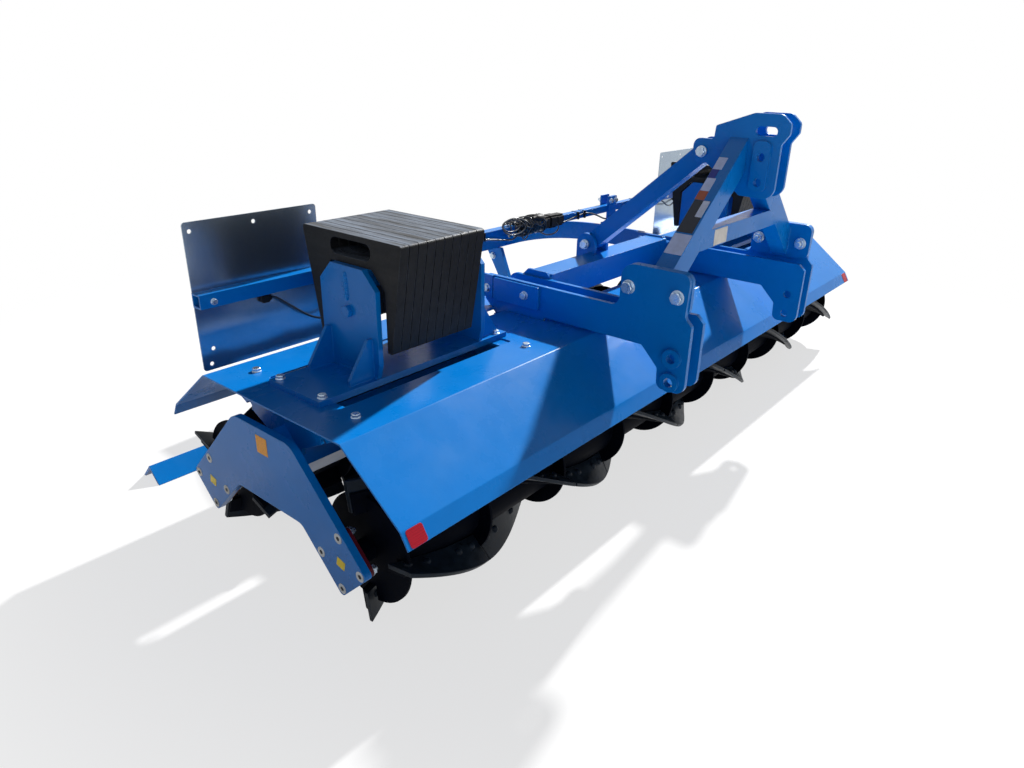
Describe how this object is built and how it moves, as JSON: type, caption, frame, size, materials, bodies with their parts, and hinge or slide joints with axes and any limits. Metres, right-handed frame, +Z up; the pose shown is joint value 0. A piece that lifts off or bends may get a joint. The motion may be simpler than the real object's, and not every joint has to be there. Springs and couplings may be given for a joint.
{
  "type": "three-point-mounted double knife roller",
  "caption": "Mounted knife roller: helical knife drums under folded hoods, a mast and linkage arms, stacked weights, a rear drag bar and light boards.",
  "frame": {"origin": "middle of the machine's bounding box on the ground", "axes": "+X across the machine towards its left side, -Y towards the tractor, +Z up"},
  "size_m": [3.044, 1.651, 1.175],
  "materials": {
    "blue_paint": "gloss",
    "drum_paint": "satin",
    "knife_steel": "satin",
    "weight_iron": "matte",
    "galvanised_steel": "satin",
    "bearing_paint": "satin",
    "zinc": "satin",
    "lamp_plastic": "gloss"
  },
  "bodies": {
    "frame": {"main_beam": "blue_paint", "end_plate_left": "blue_paint", "end_plate_right": "blue_paint", "hood_brackets": "blue_paint", "hood_front": "blue_paint", "hood_rear": "blue_paint", "weight_base_left": "blue_paint", "weight_base_right": "blue_paint", "arm_saddle_left": "blue_paint", "arm_saddle_right": "blue_paint", "arm_outer_left": "blue_paint", "arm_outer_right": "blue_paint", "arm_inner_left": "blue_paint", "arm_inner_right": "blue_paint", "arch_arm_left": "blue_paint", "arch_arm_right": "blue_paint", "mast_foot_left": "blue_paint", "mast_foot_right": "blue_paint", "mast_leg_left": "blue_paint", "mast_leg_right": "blue_paint", "mast_plate_left": "blue_paint", "mast_plate_right": "blue_paint", "splice_plates": "blue_paint", "cross_tube": "blue_paint", "stay_ears": "blue_paint", "stay_bar": "blue_paint", "mast_cross_tube": "blue_paint", "drag_tube": "blue_paint", "drag_arms": "blue_paint", "drag_bar": "blue_paint", "light_struts": "blue_paint", "light_clamps": "blue_paint", "weights_left": "weight_iron", "weights_right": "weight_iron", "light_bar": "galvanised_steel", "light_sleeves": "galvanised_steel", "light_board_left": "galvanised_steel", "light_board_right": "galvanised_steel", "bearings": "bearing_paint", "stay_pins": "zinc", "lamps": "lamp_plastic"},
    "front_roller": {"drum_front": "drum_paint", "knives_front": "knife_steel"},
    "rear_roller": {"drum_rear": "drum_paint", "knives_rear": "knife_steel"}
  },
  "joints": [
    {"name": "front_roller_spin", "type": "hinge", "parent": "frame", "child": "front_roller", "pos_m": [0, -0.455, 0.195], "axis": [1, 0, 0], "continuous": true},
    {"name": "rear_roller_spin", "type": "hinge", "parent": "frame", "child": "rear_roller", "pos_m": [0, 0.12, 0.195], "axis": [1, 0, 0], "continuous": true}
  ]
}
